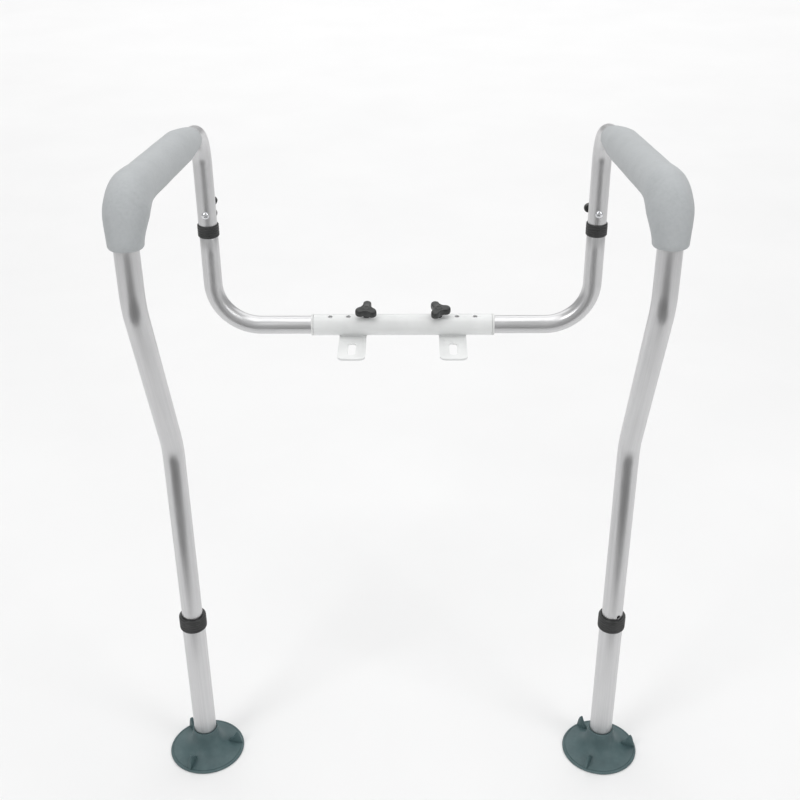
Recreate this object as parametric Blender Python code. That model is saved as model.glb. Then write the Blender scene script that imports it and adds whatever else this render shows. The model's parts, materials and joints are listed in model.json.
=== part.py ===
"""Toilet safety frame: two padded inverted-U arm rails on telescoping legs,
joined behind the seat by a white centre sleeve with welded seat-bolt ears.

Frame of the part: +X to the right of a standing viewer in front of it,
+Y to the rear (towards the tank), +Z up, metres.  The origin is on the floor
plane at the centre of the footprint.
"""
import math

import bmesh
import bpy
from mathutils import Vector

# ------------------------------------------------------------------ sizes (m)
ARM_X = 0.262          # half the spacing between the two arm rails
POST_Y = 0.22325       # rear posts and centre sleeve
LEG_Y = -0.12875       # lower part of the front legs
FRONT_Y = -0.22625     # upper part of the front legs

TUBE_R = 0.0127        # arm tube and side bar, 25.4 mm outside
ARM_BORE_R = 0.0113    # inside of the arm tube
BAR_BORE_R = 0.0110    # inside of the side bar
SPIGOT_R = 0.0110      # reduced top end of the side bar, inside the post
SPIGOT_BORE_R = 0.0095
LEG_R = 0.0143         # lower leg tube, 28.6 mm outside
LEG_BORE_R = 0.0130
SLEEVE_R = 0.0150
SLEEVE_BORE_R = 0.0130
CLEAR = 0.0003         # running and assembly clearance

SLEEVE_HALF = 0.1250   # sleeve without its end bushings
BUSHING_LEN = 0.0030
SLEEVE_Z = 0.4573      # axis of the sleeve and of the side bars
BAR_BEND_R = 0.0640
BAR_INNER_X = 0.0330   # inner end of each side bar in the sleeve
POST_END_Z = 0.5937    # lower end of the arm tube at the rear
SPIGOT_TOP_Z = 0.6880

KINK_LOW_Z = 0.474     # corners of the joggle in the front leg
KINK_HIGH_Z = 0.695
KINK_R = 0.085
FRONT_CORNER_Z = 0.8039
REAR_CORNER_Z = 0.7368
FRONT_BEND_R = 0.044
REAR_BEND_R = 0.0508
ARM_END_Z = 0.100      # lower end of the arm tube, inside the leg tube

LEG_TOP_Z = 0.2231
LEG_BOTTOM_Z = 0.0114
COLLAR_Z0 = 0.2086     # leg collar
COLLAR_Z1 = 0.2273
INDEX_HOLE_Z = 0.2316  # small round hole just above the right leg collar
INDEX_HOLE_R = 0.0024
INDEX_HOLE_TURN = math.radians(28.5)   # outwards from straight ahead

PAD_R = 0.0205
PAD_OFFSET = 0.0030    # pad is thicker on the side away from the U
PAD_BORE_R = TUBE_R + CLEAR

BOLT_Z = 0.6250        # height bolt through the rear post
BOLT_R = 0.0030
BOLT_HOLE_R = 0.0034
BOLT_HEAD_R = 0.0052
HEIGHT_TRAVEL = 0.0508

HOLE_PITCH = 0.0254    # width holes along the sleeve
HOLE_FIRST_X = 0.0505
HOLE_R = 0.0030
HOLE_TILT = math.radians(15.0)   # holes lean forward of straight up

KNOB_LOBE_AT = 0.0107  # centre of each lobe
KNOB_LOBE_R = 0.0058
KNOB_WAIST_R = 0.0085

EAR_X = 0.070
EAR_W = 0.038
EAR_REACH = 0.078      # how far the ears reach forward of the sleeve axis
EAR_TOP = 0.0139       # below the sleeve axis
EAR_BOTTOM = 0.0170
SLOT_W = 0.011
SLOT_FRONT = 0.066
SLOT_REAR = 0.030

FOOT_R = 0.0485
FOOT_NECK_R = 0.0165
FOOT_NECK_Z = 0.0373
LUG_PROFILE = ((0.0295, 0.0040), (0.0470, 0.0022), (0.0455, 0.0120), (0.0425, 0.0200),
               (0.0405, 0.0215), (0.0385, 0.0195), (0.0345, 0.0135), (0.0300, 0.0105))
LUG_THICK = 0.0034     # upright release fins, set along the foot's radii

SIDES = 18
BEND_STEP = math.radians(14.0)

# ------------------------------------------------------------------- cleaning
for old in list(bpy.data.objects):
    bpy.data.objects.remove(old, do_unlink=True)


# ------------------------------------------------------------------ materials
def material(name, colour, roughness, metallic=0.0):
    mat = bpy.data.materials.new(name)
    mat.use_nodes = True
    shader = mat.node_tree.nodes["Principled BSDF"]
    shader.inputs["Base Color"].default_value = (*colour, 1.0)
    shader.inputs["Roughness"].default_value = roughness
    shader.inputs["Metallic"].default_value = metallic
    return mat


ALU = (0.70, 0.70, 0.72)
BLACK = (0.025, 0.027, 0.026)
WHITE = (0.86, 0.87, 0.86)


# ------------------------------------------------------------ shape functions
def add_object(name, verts, faces, mat, origin=(0.0, 0.0, 0.0), sharp=35.0):
    """Mesh object whose points are given in the part's frame."""
    origin = Vector(origin)
    mesh = bpy.data.meshes.new(name)
    mesh.from_pydata([Vector(v) - origin for v in verts], [], faces)
    bm = bmesh.new()
    bm.from_mesh(mesh)
    bmesh.ops.remove_doubles(bm, verts=bm.verts, dist=1e-7)
    bmesh.ops.recalc_face_normals(bm, faces=bm.faces)
    bm.to_mesh(mesh)
    bm.free()
    mesh.shade_smooth()
    mesh.set_sharp_from_angle(angle=math.radians(sharp))
    mesh.materials.append(mat)
    obj = bpy.data.objects.new(name, mesh)
    obj.location = origin
    bpy.context.scene.collection.objects.link(obj)
    return obj


def bent_path(corners, radii, step=BEND_STEP):
    """Points and tangents of a line through corners, each corner rounded."""
    pts = [Vector(c) for c in corners]
    out = [(pts[0], (pts[1] - pts[0]).normalized())]
    for i in range(1, len(pts) - 1):
        d0 = (pts[i] - pts[i - 1]).normalized()
        d1 = (pts[i + 1] - pts[i]).normalized()
        turn = d0.angle(d1)
        r = radii[i - 1]
        start = pts[i] - d0 * (r * math.tan(turn / 2))
        toward = (d1 - d0 * d0.dot(d1)).normalized()
        centre = start + toward * r
        n = max(2, int(math.ceil(turn / step)))
        for k in range(n + 1):
            a = turn * k / n
            pos = centre - toward * (r * math.cos(a)) + d0 * (r * math.sin(a))
            tan = d0 * math.cos(a) + toward * math.sin(a)
            out.append((pos, tan))
    out.append((pts[-1], (pts[-1] - pts[-2]).normalized()))
    return out


def swept_tube(path, flat_normal, r_out, r_in, sides=SIDES, offset=0.0):
    """Closed tube wall along a flat path; offset moves the outer skin
    sideways in the plane of the path."""
    flat = Vector(flat_normal).normalized()
    verts, faces = [], []
    count = len(path)
    for skin, radius in enumerate((r_out, r_in)):
        for k, (pos, tan) in enumerate(path):
            side = flat.cross(tan).normalized()
            rad = radius[k] if isinstance(radius, (list, tuple)) else radius
            mid = pos + side * (offset if skin == 0 else 0.0)
            for j in range(sides):
                a = 2 * math.pi * j / sides
                verts.append(mid + side * (rad * math.cos(a)) + flat * (rad * math.sin(a)))
    inner = count * sides
    for k in range(count - 1):
        for j in range(sides):
            j2 = (j + 1) % sides
            a, b = k * sides, (k + 1) * sides
            faces.append((a + j, a + j2, b + j2, b + j))
            faces.append((inner + a + j2, inner + a + j, inner + b + j, inner + b + j2))
    last = (count - 1) * sides
    for j in range(sides):
        j2 = (j + 1) % sides
        faces.append((j2, j, inner + j, inner + j2))
        faces.append((last + j, last + j2, inner + last + j2, inner + last + j))
    return verts, faces


def turned(profile, axis_point, axis_dir, sides=SIDES, turn=0.0):
    """Solid of revolution of a closed (radius, height) outline.  Points with
    radius 0 become a pole on the axis."""
    axis = Vector(axis_dir).normalized()
    helper = Vector((1, 0, 0)) if abs(axis.x) < 0.9 else Vector((0, 1, 0))
    u = (helper - axis * axis.dot(helper)).normalized()
    v = axis.cross(u)
    base = Vector(axis_point)
    verts, rows = [], []
    for r, h in profile:
        if r < 1e-9:
            verts.append(base + axis * h)
            rows.append([len(verts) - 1] * sides)
        else:
            row = []
            for j in range(sides):
                a = turn + 2 * math.pi * j / sides
                verts.append(base + axis * h + u * (r * math.cos(a)) + v * (r * math.sin(a)))
                row.append(len(verts) - 1)
            rows.append(row)
    faces = []
    n = len(rows)
    for k in range(n):
        a, b = rows[k], rows[(k + 1) % n]
        for j in range(sides):
            j2 = (j + 1) % sides
            quad = []
            for idx in (a[j], a[j2], b[j2], b[j]):
                if idx not in quad:
                    quad.append(idx)
            if len(quad) >= 3:
                faces.append(tuple(quad))
    return verts, faces


def ring(r_out, r_in, h0, h1, edge=0.0):
    """Outline of a plain ring with its outer edges broken."""
    return [(r_in, h0), (r_out - edge, h0), (r_out, h0 + edge),
            (r_out, h1 - edge), (r_out - edge, h1), (r_in, h1)]


def box_mesh(lo, hi):
    x0, y0, z0 = lo
    x1, y1, z1 = hi
    verts = [(x0, y0, z0), (x1, y0, z0), (x1, y1, z0), (x0, y1, z0),
             (x0, y0, z1), (x1, y0, z1), (x1, y1, z1), (x0, y1, z1)]
    faces = [(0, 3, 2, 1), (4, 5, 6, 7), (0, 1, 5, 4), (1, 2, 6, 5), (2, 3, 7, 6), (3, 0, 4, 7)]
    return verts, faces


def stadium(centre, half_len, radius, long_dir, depth_dir, depth, sides=8):
    """Prism with rounded ends, for slots: long_dir is the slot's length."""
    c = Vector(centre)
    lng = Vector(long_dir).normalized()
    dep = Vector(depth_dir).normalized()
    wid = dep.cross(lng)
    outline = []
    for end in (1, -1):
        for k in range(sides + 1):
            a = -math.pi / 2 + math.pi * k / sides
            outline.append(lng * (end * (half_len + radius * math.cos(a)))
                           + wid * (end * radius * math.sin(a)))
    n = len(outline)
    verts = [c + p - dep * (depth / 2) for p in outline] + [c + p + dep * (depth / 2) for p in outline]
    faces = [tuple(reversed(range(n))), tuple(range(n, 2 * n))]
    for i in range(n):
        j = (i + 1) % n
        faces.append((i, j, n + j, n + i))
    return verts, faces


TOOL_MAT = material("guide", (0.8, 0.2, 0.1), 0.6)


def cutter(name, shape):
    obj = add_object(name, shape[0], shape[1], TOOL_MAT)
    obj.hide_render = True
    obj.display_type = "WIRE"
    return obj


def boolean(obj, tool, operation):
    mod = obj.modifiers.new(operation.lower() + "_" + tool.name, "BOOLEAN")
    mod.operation = operation
    mod.solver = "EXACT"
    mod.object = tool


def lobe_outline(turn, per_lobe=7, valley=1):
    """Outline of a three-lobe hand knob seen along its axis."""
    pts = []
    for lobe in range(3):
        mid = turn + lobe * 2 * math.pi / 3
        cx, cy = KNOB_LOBE_AT * math.cos(mid), KNOB_LOBE_AT * math.sin(mid)
        for k in range(per_lobe):
            a = mid + math.radians(-100 + 200 * k / (per_lobe - 1))
            pts.append((cx + KNOB_LOBE_R * math.cos(a), cy + KNOB_LOBE_R * math.sin(a)))
        for k in range(1, valley + 1):
            a = mid + math.radians(60 + (k - (valley + 1) / 2) * 16)
            r = KNOB_WAIST_R + 0.0006 * abs(k - (valley + 1) / 2)
            pts.append((r * math.cos(a), r * math.sin(a)))
    return pts


def knob_mesh(base, axis_dir, turn, hub_r, hub_len, body_len, bore_r, bore_depth):
    """Three-lobe knob with a hub underneath and a bore up its middle.
    base is the hub's underside on the axis; bore_depth None goes through."""
    axis = Vector(axis_dir).normalized()
    helper = Vector((1, 0, 0))
    u = (helper - axis * axis.dot(helper)).normalized()
    v = axis.cross(u)
    base = Vector(base)
    outline = lobe_outline(turn)
    n = len(outline)
    edge = 0.0012

    def place(x, y, h):
        return base + u * x + v * y + axis * h

    def shrunk(f):
        return [(x * f, y * f) for x, y in outline]

    def circle(r):
        return [(r * math.cos(math.atan2(y, x)), r * math.sin(math.atan2(y, x))) for x, y in outline]

    top = hub_len + body_len
    loops = [(circle(bore_r), 0.0), (circle(hub_r), 0.0), (circle(hub_r), hub_len),
             (shrunk(0.93), hub_len), (outline, hub_len + edge), (outline, top - edge),
             (shrunk(0.93), top)]
    verts, faces, rows = [], [], []
    for loop, h in loops:
        rows.append([len(verts) + i for i in range(n)])
        verts.extend(place(x, y, h) for x, y in loop)
    if bore_depth is None:
        loop = circle(bore_r)
        rows.append([len(verts) + i for i in range(n)])
        verts.extend(place(x, y, top) for x, y in loop)
        rows.append(rows[0])
    for a, b in zip(rows[:-1], rows[1:]):
        for i in range(n):
            j = (i + 1) % n
            faces.append((a[i], a[j], b[j], b[i]))
    if bore_depth is not None:
        faces.append(tuple(rows[-1]))
        loop = circle(bore_r)
        deep = [len(verts) + i for i in range(n)]
        verts.extend(place(x, y, bore_depth) for x, y in loop)
        for i in range(n):
            j = (i + 1) % n
            faces.append((rows[0][j], rows[0][i], deep[i], deep[j]))
        faces.append(tuple(reversed(deep)))
    return verts, faces


# ------------------------------------------------------------- centre bracket
bracket = add_object(
    "centre_bracket",
    *turned([(SLEEVE_BORE_R, -SLEEVE_HALF), (SLEEVE_R, -SLEEVE_HALF),
             (SLEEVE_R, SLEEVE_HALF), (SLEEVE_BORE_R, SLEEVE_HALF)],
            (0, POST_Y, SLEEVE_Z), (1, 0, 0), sides=24, turn=math.pi / 24),
    material("white_coat", WHITE, 0.35))

for side, sx in (("l", -1), ("r", 1)):
    ear = cutter("guide_ear_" + side, box_mesh(
        (sx * EAR_X - EAR_W / 2, POST_Y - EAR_REACH, SLEEVE_Z - EAR_BOTTOM),
        (sx * EAR_X + EAR_W / 2, POST_Y + 0.009, SLEEVE_Z - EAR_TOP)))
    boolean(bracket, ear, "UNION")
for side, sx in (("l", -1), ("r", 1)):
    slot = cutter("guide_slot_" + side, stadium(
        (sx * EAR_X, POST_Y - (SLOT_FRONT + SLOT_REAR) / 2, SLEEVE_Z - EAR_BOTTOM),
        (SLOT_FRONT - SLOT_REAR) / 2 - SLOT_W / 2, SLOT_W / 2, (0, 1, 0), (0, 0, 1), 0.012))
    boolean(bracket, slot, "DIFFERENCE")

hole_dir = Vector((0, -math.sin(HOLE_TILT), math.cos(HOLE_TILT)))
for side, sx in (("l", -1), ("r", 1)):
    for k in range(3):
        at = Vector((sx * (HOLE_FIRST_X + k * HOLE_PITCH), POST_Y, SLEEVE_Z))
        hole = cutter("guide_hole_%s%d" % (side, k), turned(
            [(0, 0.008), (HOLE_R, 0.008), (HOLE_R, 0.022), (0, 0.022)], at, hole_dir, sides=12))
        boolean(bracket, hole, "DIFFERENCE")

# --------------------------------------------------------- the two side rails
for side, sx in (("l", -1), ("r", 1)):
    x = sx * ARM_X

    # plastic bushing on the end of the sleeve
    add_object("sleeve_bushing_" + side,
               *turned(ring(SLEEVE_R + 0.0003, SLEEVE_BORE_R, 0, BUSHING_LEN, 0.0006),
                       (sx * (SLEEVE_HALF + CLEAR), POST_Y, SLEEVE_Z), (sx, 0, 0), sides=24),
               material("white_plastic_" + side, WHITE, 0.45))

    # side bar: level in the sleeve, bent up, reduced where it enters the post
    path = bent_path([(sx * BAR_INNER_X, POST_Y, SLEEVE_Z), (x, POST_Y, SLEEVE_Z),
                      (x, POST_Y, SPIGOT_TOP_Z)], [BAR_BEND_R])
    up = Vector((0, 0, 1))
    tail = path.pop()
    shoulder = POST_END_Z - CLEAR
    path += [(Vector((x, POST_Y, shoulder - 0.0015)), up), (Vector((x, POST_Y, shoulder)), up), tail]
    outer = [TUBE_R] * (len(path) - 2) + [SPIGOT_R] * 2
    inner = [BAR_BORE_R] * (len(path) - 3) + [BAR_BORE_R, SPIGOT_BORE_R, SPIGOT_BORE_R]
    bar = add_object("side_bar_" + side, *swept_tube(path, (0, 1, 0), outer, inner),
                     material("bar_aluminium_" + side, ALU, 0.3, 1.0),
                     origin=(sx * SLEEVE_HALF, POST_Y, SLEEVE_Z))
    # slot through both walls of the spigot for the height bolt
    slot = cutter("guide_bar_slot_" + side, stadium(
        (x, POST_Y, BOLT_Z + HEIGHT_TRAVEL / 2), HEIGHT_TRAVEL / 2, BOLT_HOLE_R,
        (0, 0, 1), (0, 1, 0), 0.03, sides=6))
    boolean(bar, slot, "DIFFERENCE")

    # arm tube: front leg, joggle, front bend, arm rest, rear bend, post
    arm_path = bent_path([(x, LEG_Y, ARM_END_Z), (x, LEG_Y, KINK_LOW_Z), (x, FRONT_Y, KINK_HIGH_Z),
                          (x, FRONT_Y, FRONT_CORNER_Z), (x, POST_Y, REAR_CORNER_Z),
                          (x, POST_Y, POST_END_Z)],
                         [KINK_R, KINK_R, FRONT_BEND_R, REAR_BEND_R])
    arm = add_object("arm_tube_" + side, *swept_tube(arm_path, (1, 0, 0), TUBE_R, ARM_BORE_R),
                     material("arm_aluminium_" + side, ALU, 0.3, 1.0),
                     origin=(x, POST_Y, POST_END_Z))
    hole = cutter("guide_bolt_hole_" + side, turned(
        [(0, -0.02), (BOLT_HOLE_R, -0.02), (BOLT_HOLE_R, 0.02), (0, 0.02)],
        (x, POST_Y, BOLT_Z), (0, 1, 0), sides=12))
    boolean(arm, hole, "DIFFERENCE")
    if side == "r":
        index_dir = Vector((sx * math.sin(INDEX_HOLE_TURN), -math.cos(INDEX_HOLE_TURN), 0))
        index = cutter("guide_index_hole", turned(
            [(0, 0.006), (INDEX_HOLE_R, 0.006), (INDEX_HOLE_R, 0.02), (0, 0.02)],
            (x, LEG_Y, INDEX_HOLE_Z), index_dir, sides=12))
        boolean(arm, index, "DIFFERENCE")

    # foam pad: round the front bend and along the arm rest
    bends = [p for p in arm_path if p[0].z > 0.70]
    front_start = next(i for i, p in enumerate(bends) if p[0].z > 0.74)
    pad_path = bends[front_start:]
    pad_path = [p for p in pad_path if p[1].z > -0.2 or p[0].y < POST_Y - REAR_BEND_R]
    add_object("arm_pad_" + side,
               *swept_tube(pad_path, (1, 0, 0), PAD_R, PAD_BORE_R, sides=16, offset=PAD_OFFSET),
               material("grey_foam_" + side, (0.47, 0.50, 0.50), 0.85))

    # ribbed collar that closes the joint between post and side bar
    add_object("post_collar_" + side,
               *turned(ring(0.0145, TUBE_R + CLEAR, -0.0020, 0.0155, 0.0012),
                       (x, POST_Y, POST_END_Z), (0, 0, 1), sides=24),
               material("post_collar_black_" + side, BLACK, 0.5))

    # domed bolt through the post, and its three-lobe knob behind
    head = [(0, -0.0164 - 0.0002), (0.0022, -0.0163), (0.0040, -0.0153), (BOLT_HEAD_R, -0.0137),
            (BOLT_HEAD_R, -TUBE_R - CLEAR), (BOLT_R, -TUBE_R - CLEAR), (BOLT_R, 0.0258), (0, 0.0258)]
    add_object("height_bolt_" + side,
               *turned(head, (x, POST_Y, BOLT_Z), (0, 1, 0), sides=14),
               material("bolt_steel_" + side, (0.62, 0.63, 0.65), 0.22, 1.0))
    add_object("height_knob_" + side,
               *knob_mesh((x, POST_Y + TUBE_R + CLEAR, BOLT_Z), (0, 1, 0),
                          math.radians(-175 if side == "l" else 160),
                          0.0062, 0.0045, 0.0090, BOLT_R + CLEAR, None),
               material("height_knob_black_" + side, BLACK, 0.42),
               origin=(x, POST_Y, BOLT_Z))

    # width knob on the innermost hole: its stud bears on the side bar
    at = Vector((sx * HOLE_FIRST_X, POST_Y, SLEEVE_Z))
    add_object("width_stud_" + side,
               *turned([(0, TUBE_R + CLEAR), (0.0020, TUBE_R + CLEAR), (0.0025, TUBE_R + 0.0010),
                        (0.0025, 0.0268), (0, 0.0268)], at, hole_dir, sides=12),
               material("stud_steel_" + side, (0.55, 0.56, 0.58), 0.3, 1.0), origin=at)
    add_object("width_knob_" + side,
               *knob_mesh(at + hole_dir * (SLEEVE_R + CLEAR + 0.0002), hole_dir,
                          math.radians(84 if side == "l" else 0),
                          0.0048, 0.0060, 0.0100, 0.0025 + CLEAR, 0.0118),
               material("width_knob_black_" + side, BLACK, 0.42), origin=at)

    # lower leg tube with its collar
    add_object("leg_tube_" + side,
               *turned([(LEG_BORE_R, LEG_BOTTOM_Z), (LEG_R, LEG_BOTTOM_Z),
                        (LEG_R, LEG_TOP_Z), (LEG_BORE_R, LEG_TOP_Z)], (x, LEG_Y, 0), (0, 0, 1)),
               material("leg_aluminium_" + side, ALU, 0.3, 1.0), origin=(x, LEG_Y, LEG_TOP_Z))
    add_object("leg_collar_" + side,
               *turned([(LEG_R + CLEAR, COLLAR_Z0), (0.0158, COLLAR_Z0), (0.0168, COLLAR_Z0 + 0.0012),
                        (0.0168, COLLAR_Z1 - 0.0015), (0.0158, COLLAR_Z1), (LEG_BORE_R, COLLAR_Z1),
                        (LEG_BORE_R, LEG_TOP_Z + CLEAR), (LEG_R + CLEAR, LEG_TOP_Z + CLEAR)],
                       (x, LEG_Y, 0), (0, 0, 1), sides=24),
               material("leg_collar_black_" + side, BLACK, 0.5))

    # suction foot with three release lugs, and the washer under the tube end
    turn = math.radians(8.0 if side == "l" else 0.0)
    foot_profile = [(0, 0.0030), (0.0200, 0.0028), (0.0340, 0.0018), (0.0445, 0.0), (FOOT_R, 0.0),
                    (FOOT_R, 0.0016), (0.0450, 0.0032), (0.0385, 0.0060), (0.0310, 0.0100),
                    (0.0245, 0.0148), (0.0200, 0.0205), (0.0176, 0.0270), (FOOT_NECK_R, 0.0335),
                    (FOOT_NECK_R, FOOT_NECK_Z - 0.0008), (FOOT_NECK_R - 0.0009, FOOT_NECK_Z),
                    (LEG_R + CLEAR, FOOT_NECK_Z), (LEG_R + CLEAR, 0.0093), (0, 0.0093)]
    foot = add_object("suction_foot_" + side,
                      *turned(foot_profile, (x, LEG_Y, 0), (0, 0, 1), sides=24, turn=turn),
                      material("teal_rubber_" + side, (0.13, 0.23, 0.24), 0.45),
                      origin=(x, LEG_Y, 0), sharp=50.0)
    for k in range(3):
        a = turn + k * 2 * math.pi / 3
        n = len(LUG_PROFILE)
        sides_pts = [(r, y, z) for y in (-LUG_THICK / 2, LUG_THICK / 2) for r, z in LUG_PROFILE]
        lug_faces = [tuple(range(n)), tuple(reversed(range(n, 2 * n)))]
        lug_faces += [(i, n + i, n + (i + 1) % n, (i + 1) % n) for i in range(n)]
        lug = cutter("guide_lug_%s%d" % (side, k), (sides_pts, lug_faces))
        lug.location = (x, LEG_Y, 0)
        lug.rotation_euler = (0, 0, a)
        boolean(foot, lug, "UNION")
    add_object("foot_washer_" + side,
               *turned([(0, 0.0096), (0.0142, 0.0096), (0.0142, 0.0111), (0, 0.0111)],
                       (x, LEG_Y, 0), (0, 0, 1), sides=20),
               material("washer_steel_" + side, (0.6, 0.6, 0.6), 0.35, 1.0))
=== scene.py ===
import json
import math

import bmesh
import bpy
from mathutils import Matrix, Vector, noise


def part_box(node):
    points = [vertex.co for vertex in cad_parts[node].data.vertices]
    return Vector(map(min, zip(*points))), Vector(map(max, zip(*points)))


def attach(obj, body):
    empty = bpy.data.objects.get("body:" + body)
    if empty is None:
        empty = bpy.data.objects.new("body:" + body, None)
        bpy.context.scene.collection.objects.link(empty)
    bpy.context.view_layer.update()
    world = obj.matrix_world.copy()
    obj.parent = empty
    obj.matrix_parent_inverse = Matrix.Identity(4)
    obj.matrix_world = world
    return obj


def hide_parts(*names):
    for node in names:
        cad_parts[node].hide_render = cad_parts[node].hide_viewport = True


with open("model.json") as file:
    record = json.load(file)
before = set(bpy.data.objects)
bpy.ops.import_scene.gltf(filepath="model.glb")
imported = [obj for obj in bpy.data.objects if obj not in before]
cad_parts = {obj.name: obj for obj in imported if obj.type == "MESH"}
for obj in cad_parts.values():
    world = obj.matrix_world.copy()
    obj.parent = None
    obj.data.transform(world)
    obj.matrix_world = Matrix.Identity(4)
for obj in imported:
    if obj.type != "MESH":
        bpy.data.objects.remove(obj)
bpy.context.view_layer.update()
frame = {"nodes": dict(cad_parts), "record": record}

# ------------------------------------------------ measures taken from the CAD
record = frame["record"]
joints = {j["name"]: j for j in record["behaviour"]["joints"]}


def mid(node):
    a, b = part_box(node)
    return (Vector(a) + Vector(b)) / 2


def low(node):
    return Vector(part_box(node)[0])


def high(node):
    return Vector(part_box(node)[1])


ARM_X = mid("post_collar_r").x
POST_Y = mid("post_collar_r").y
SLEEVE_Z = mid("sleeve_bushing_r").z
LEG_Y = mid("leg_tube_r").y
PAD_R, PAD_OFFSET = 0.0205, 0.0030
FRONT_Y = low("arm_pad_r").y + PAD_R + PAD_OFFSET
FRONT_CORNER_Z = high("arm_tube_r").z - 0.0055
REAR_CORNER_Z = FRONT_CORNER_Z - 0.0671
ARM_END_Z = low("arm_tube_r").z
POST_END_Z = low("post_collar_r").z + 0.0020
BOLT_Z = mid("height_bolt_r").z
LEG_TOP_Z, LEG_BOTTOM_Z = high("leg_tube_r").z, low("leg_tube_r").z
COLLAR_Z0, COLLAR_Z1 = low("leg_collar_r").z, high("leg_collar_r").z
SPIGOT_TOP_Z = high("side_bar_r").z
BUSHING_OUT_X = high("sleeve_bushing_r").x
SLEEVE_HALF = high("centre_bracket").x
BAR_INNER_X = low("side_bar_r").x
HOLE_DIR = Vector(joints["width_knob_turn_right"]["axis"]).normalized()
HOLE_FIRST_X = joints["width_knob_turn_right"]["pos_m"][0]
INDEX_HOLE_Z = COLLAR_Z1 + 0.0043

TUBE_R, ARM_BORE_R, BAR_BORE_R = 0.0127, 0.0113, 0.0110
SPIGOT_R, SPIGOT_BORE_R = 0.0110, 0.0095
LEG_R, LEG_BORE_R = 0.0143, 0.0130
SLEEVE_R, SLEEVE_BORE_R = 0.0150, 0.0130
CLEAR = 0.0003
KINK_LOW_Z, KINK_HIGH_Z, KINK_R = 0.474, 0.695, 0.085
FRONT_BEND_R, REAR_BEND_R, BAR_BEND_R = 0.044, 0.0508, 0.064
SIDE = {"l": (-1, "left"), "r": (1, "right")}


# ------------------------------------------------------------------ materials
class Nodes:
    """Short hand for building one material's node tree."""

    def __init__(self, name):
        self.mat = bpy.data.materials.new(name)
        self.mat.use_nodes = True
        self.tree = self.mat.node_tree
        self.bsdf = self.tree.nodes["Principled BSDF"]

    def add(self, kind, **values):
        n = self.tree.nodes.new(kind)
        for k, v in values.items():
            if k.startswith("in_"):
                n.inputs[k[3:].replace("_", " ")].default_value = v
            else:
                setattr(n, k, v)
        return n

    def link(self, a, b):
        self.tree.links.new(a, b)

    def place(self, scale, attribute=None):
        """Coordinates of the piece itself, stretched by scale."""
        m = self.add("ShaderNodeMapping")
        m.inputs["Scale"].default_value = scale
        if attribute:
            self.link(self.add("ShaderNodeAttribute", attribute_name=attribute).outputs["Vector"],
                      m.inputs["Vector"])
        else:
            self.link(self.add("ShaderNodeTexCoord").outputs["Object"], m.inputs["Vector"])
        return m.outputs["Vector"]

    def grain(self, vector, scale, detail=4.0, rough=0.55):
        n = self.add("ShaderNodeTexNoise", in_Scale=scale, in_Detail=detail, in_Roughness=rough)
        self.link(vector, n.inputs["Vector"])
        return n.outputs["Fac"]

    def span(self, value, a, b, c, d):
        n = self.add("ShaderNodeMapRange", in_From_Min=a, in_From_Max=b, in_To_Min=c, in_To_Max=d)
        self.link(value, n.inputs["Value"])
        return n.outputs["Result"]

    def colours(self, value, stops):
        n = self.add("ShaderNodeValToRGB")
        ramp = n.color_ramp
        while len(ramp.elements) < len(stops):
            ramp.elements.new(0.5)
        for e, (p, c) in zip(ramp.elements, stops):
            e.position, e.color = p, (*c, 1.0)
        self.link(value, n.inputs["Fac"])
        return n.outputs["Color"]

    def math(self, operation, a, b):
        n = self.add("ShaderNodeMath", operation=operation)
        for i, v in enumerate((a, b)):
            if isinstance(v, (int, float)):
                n.inputs[i].default_value = v
            else:
                self.link(v, n.inputs[i])
        return n.outputs[0]

    def bump(self, value, strength, distance, after=None):
        n = self.add("ShaderNodeBump", in_Strength=strength, in_Distance=distance)
        self.link(value, n.inputs["Height"])
        if after is not None:
            self.link(after, n.inputs["Normal"])
        return n.outputs["Normal"]

    def set(self, **values):
        for k, v in values.items():
            s = self.bsdf.inputs[k.replace("_", " ")]
            if hasattr(v, "is_linked"):
                self.link(v, s)
            else:
                s.default_value = v
        return self.mat


def anodised(name, dark, bright, rough, streaks):
    """Drawn aluminium tube: fine lines along the tube under a satin anodised skin."""
    n = Nodes(name)
    lane = n.place((1.0, 1.0, 0.9), "lane")
    fine = n.grain(lane, streaks, 3.0, 0.6)
    broad = n.grain(lane, 7.0, 3.0, 0.5)
    cloud = n.grain(n.place((1, 1, 1)), 22.0, 4.0)
    mixed = n.math("ADD", n.math("MULTIPLY", fine, 0.45), n.math("MULTIPLY", broad, 0.55))
    base = n.colours(mixed, [(0.30, dark), (0.52, tuple((a + b) / 2 for a, b in zip(dark, bright))),
                             (0.72, bright)])
    worn = n.math("ADD", n.math("MULTIPLY", fine, 0.5), n.math("MULTIPLY", cloud, 0.5))
    rgh = n.span(worn, 0.3, 0.7, rough - 0.05, rough + 0.07)
    skin = n.bump(n.grain(n.place((1, 1, 1)), 2600.0, 2.0), 0.10, 0.00002)
    return n.set(Base_Color=base, Metallic=1.0, Roughness=rgh, Anisotropic=0.35,
                 Normal=n.bump(fine, 0.12, 0.00002, skin))


def powder_coat(name):
    n = Nodes(name)
    p = n.place((1, 1, 1))
    peel = n.grain(p, 620.0, 2.0, 0.5)
    tint = n.colours(n.grain(p, 30.0, 3.0), [(0.3, (0.74, 0.75, 0.745)), (0.7, (0.80, 0.81, 0.805))])
    return n.set(Base_Color=tint, Roughness=n.span(peel, 0.3, 0.7, 0.30, 0.40), Coat_Weight=0.25,
                 Coat_Roughness=0.18, Normal=n.bump(peel, 0.25, 0.00006))


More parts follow.
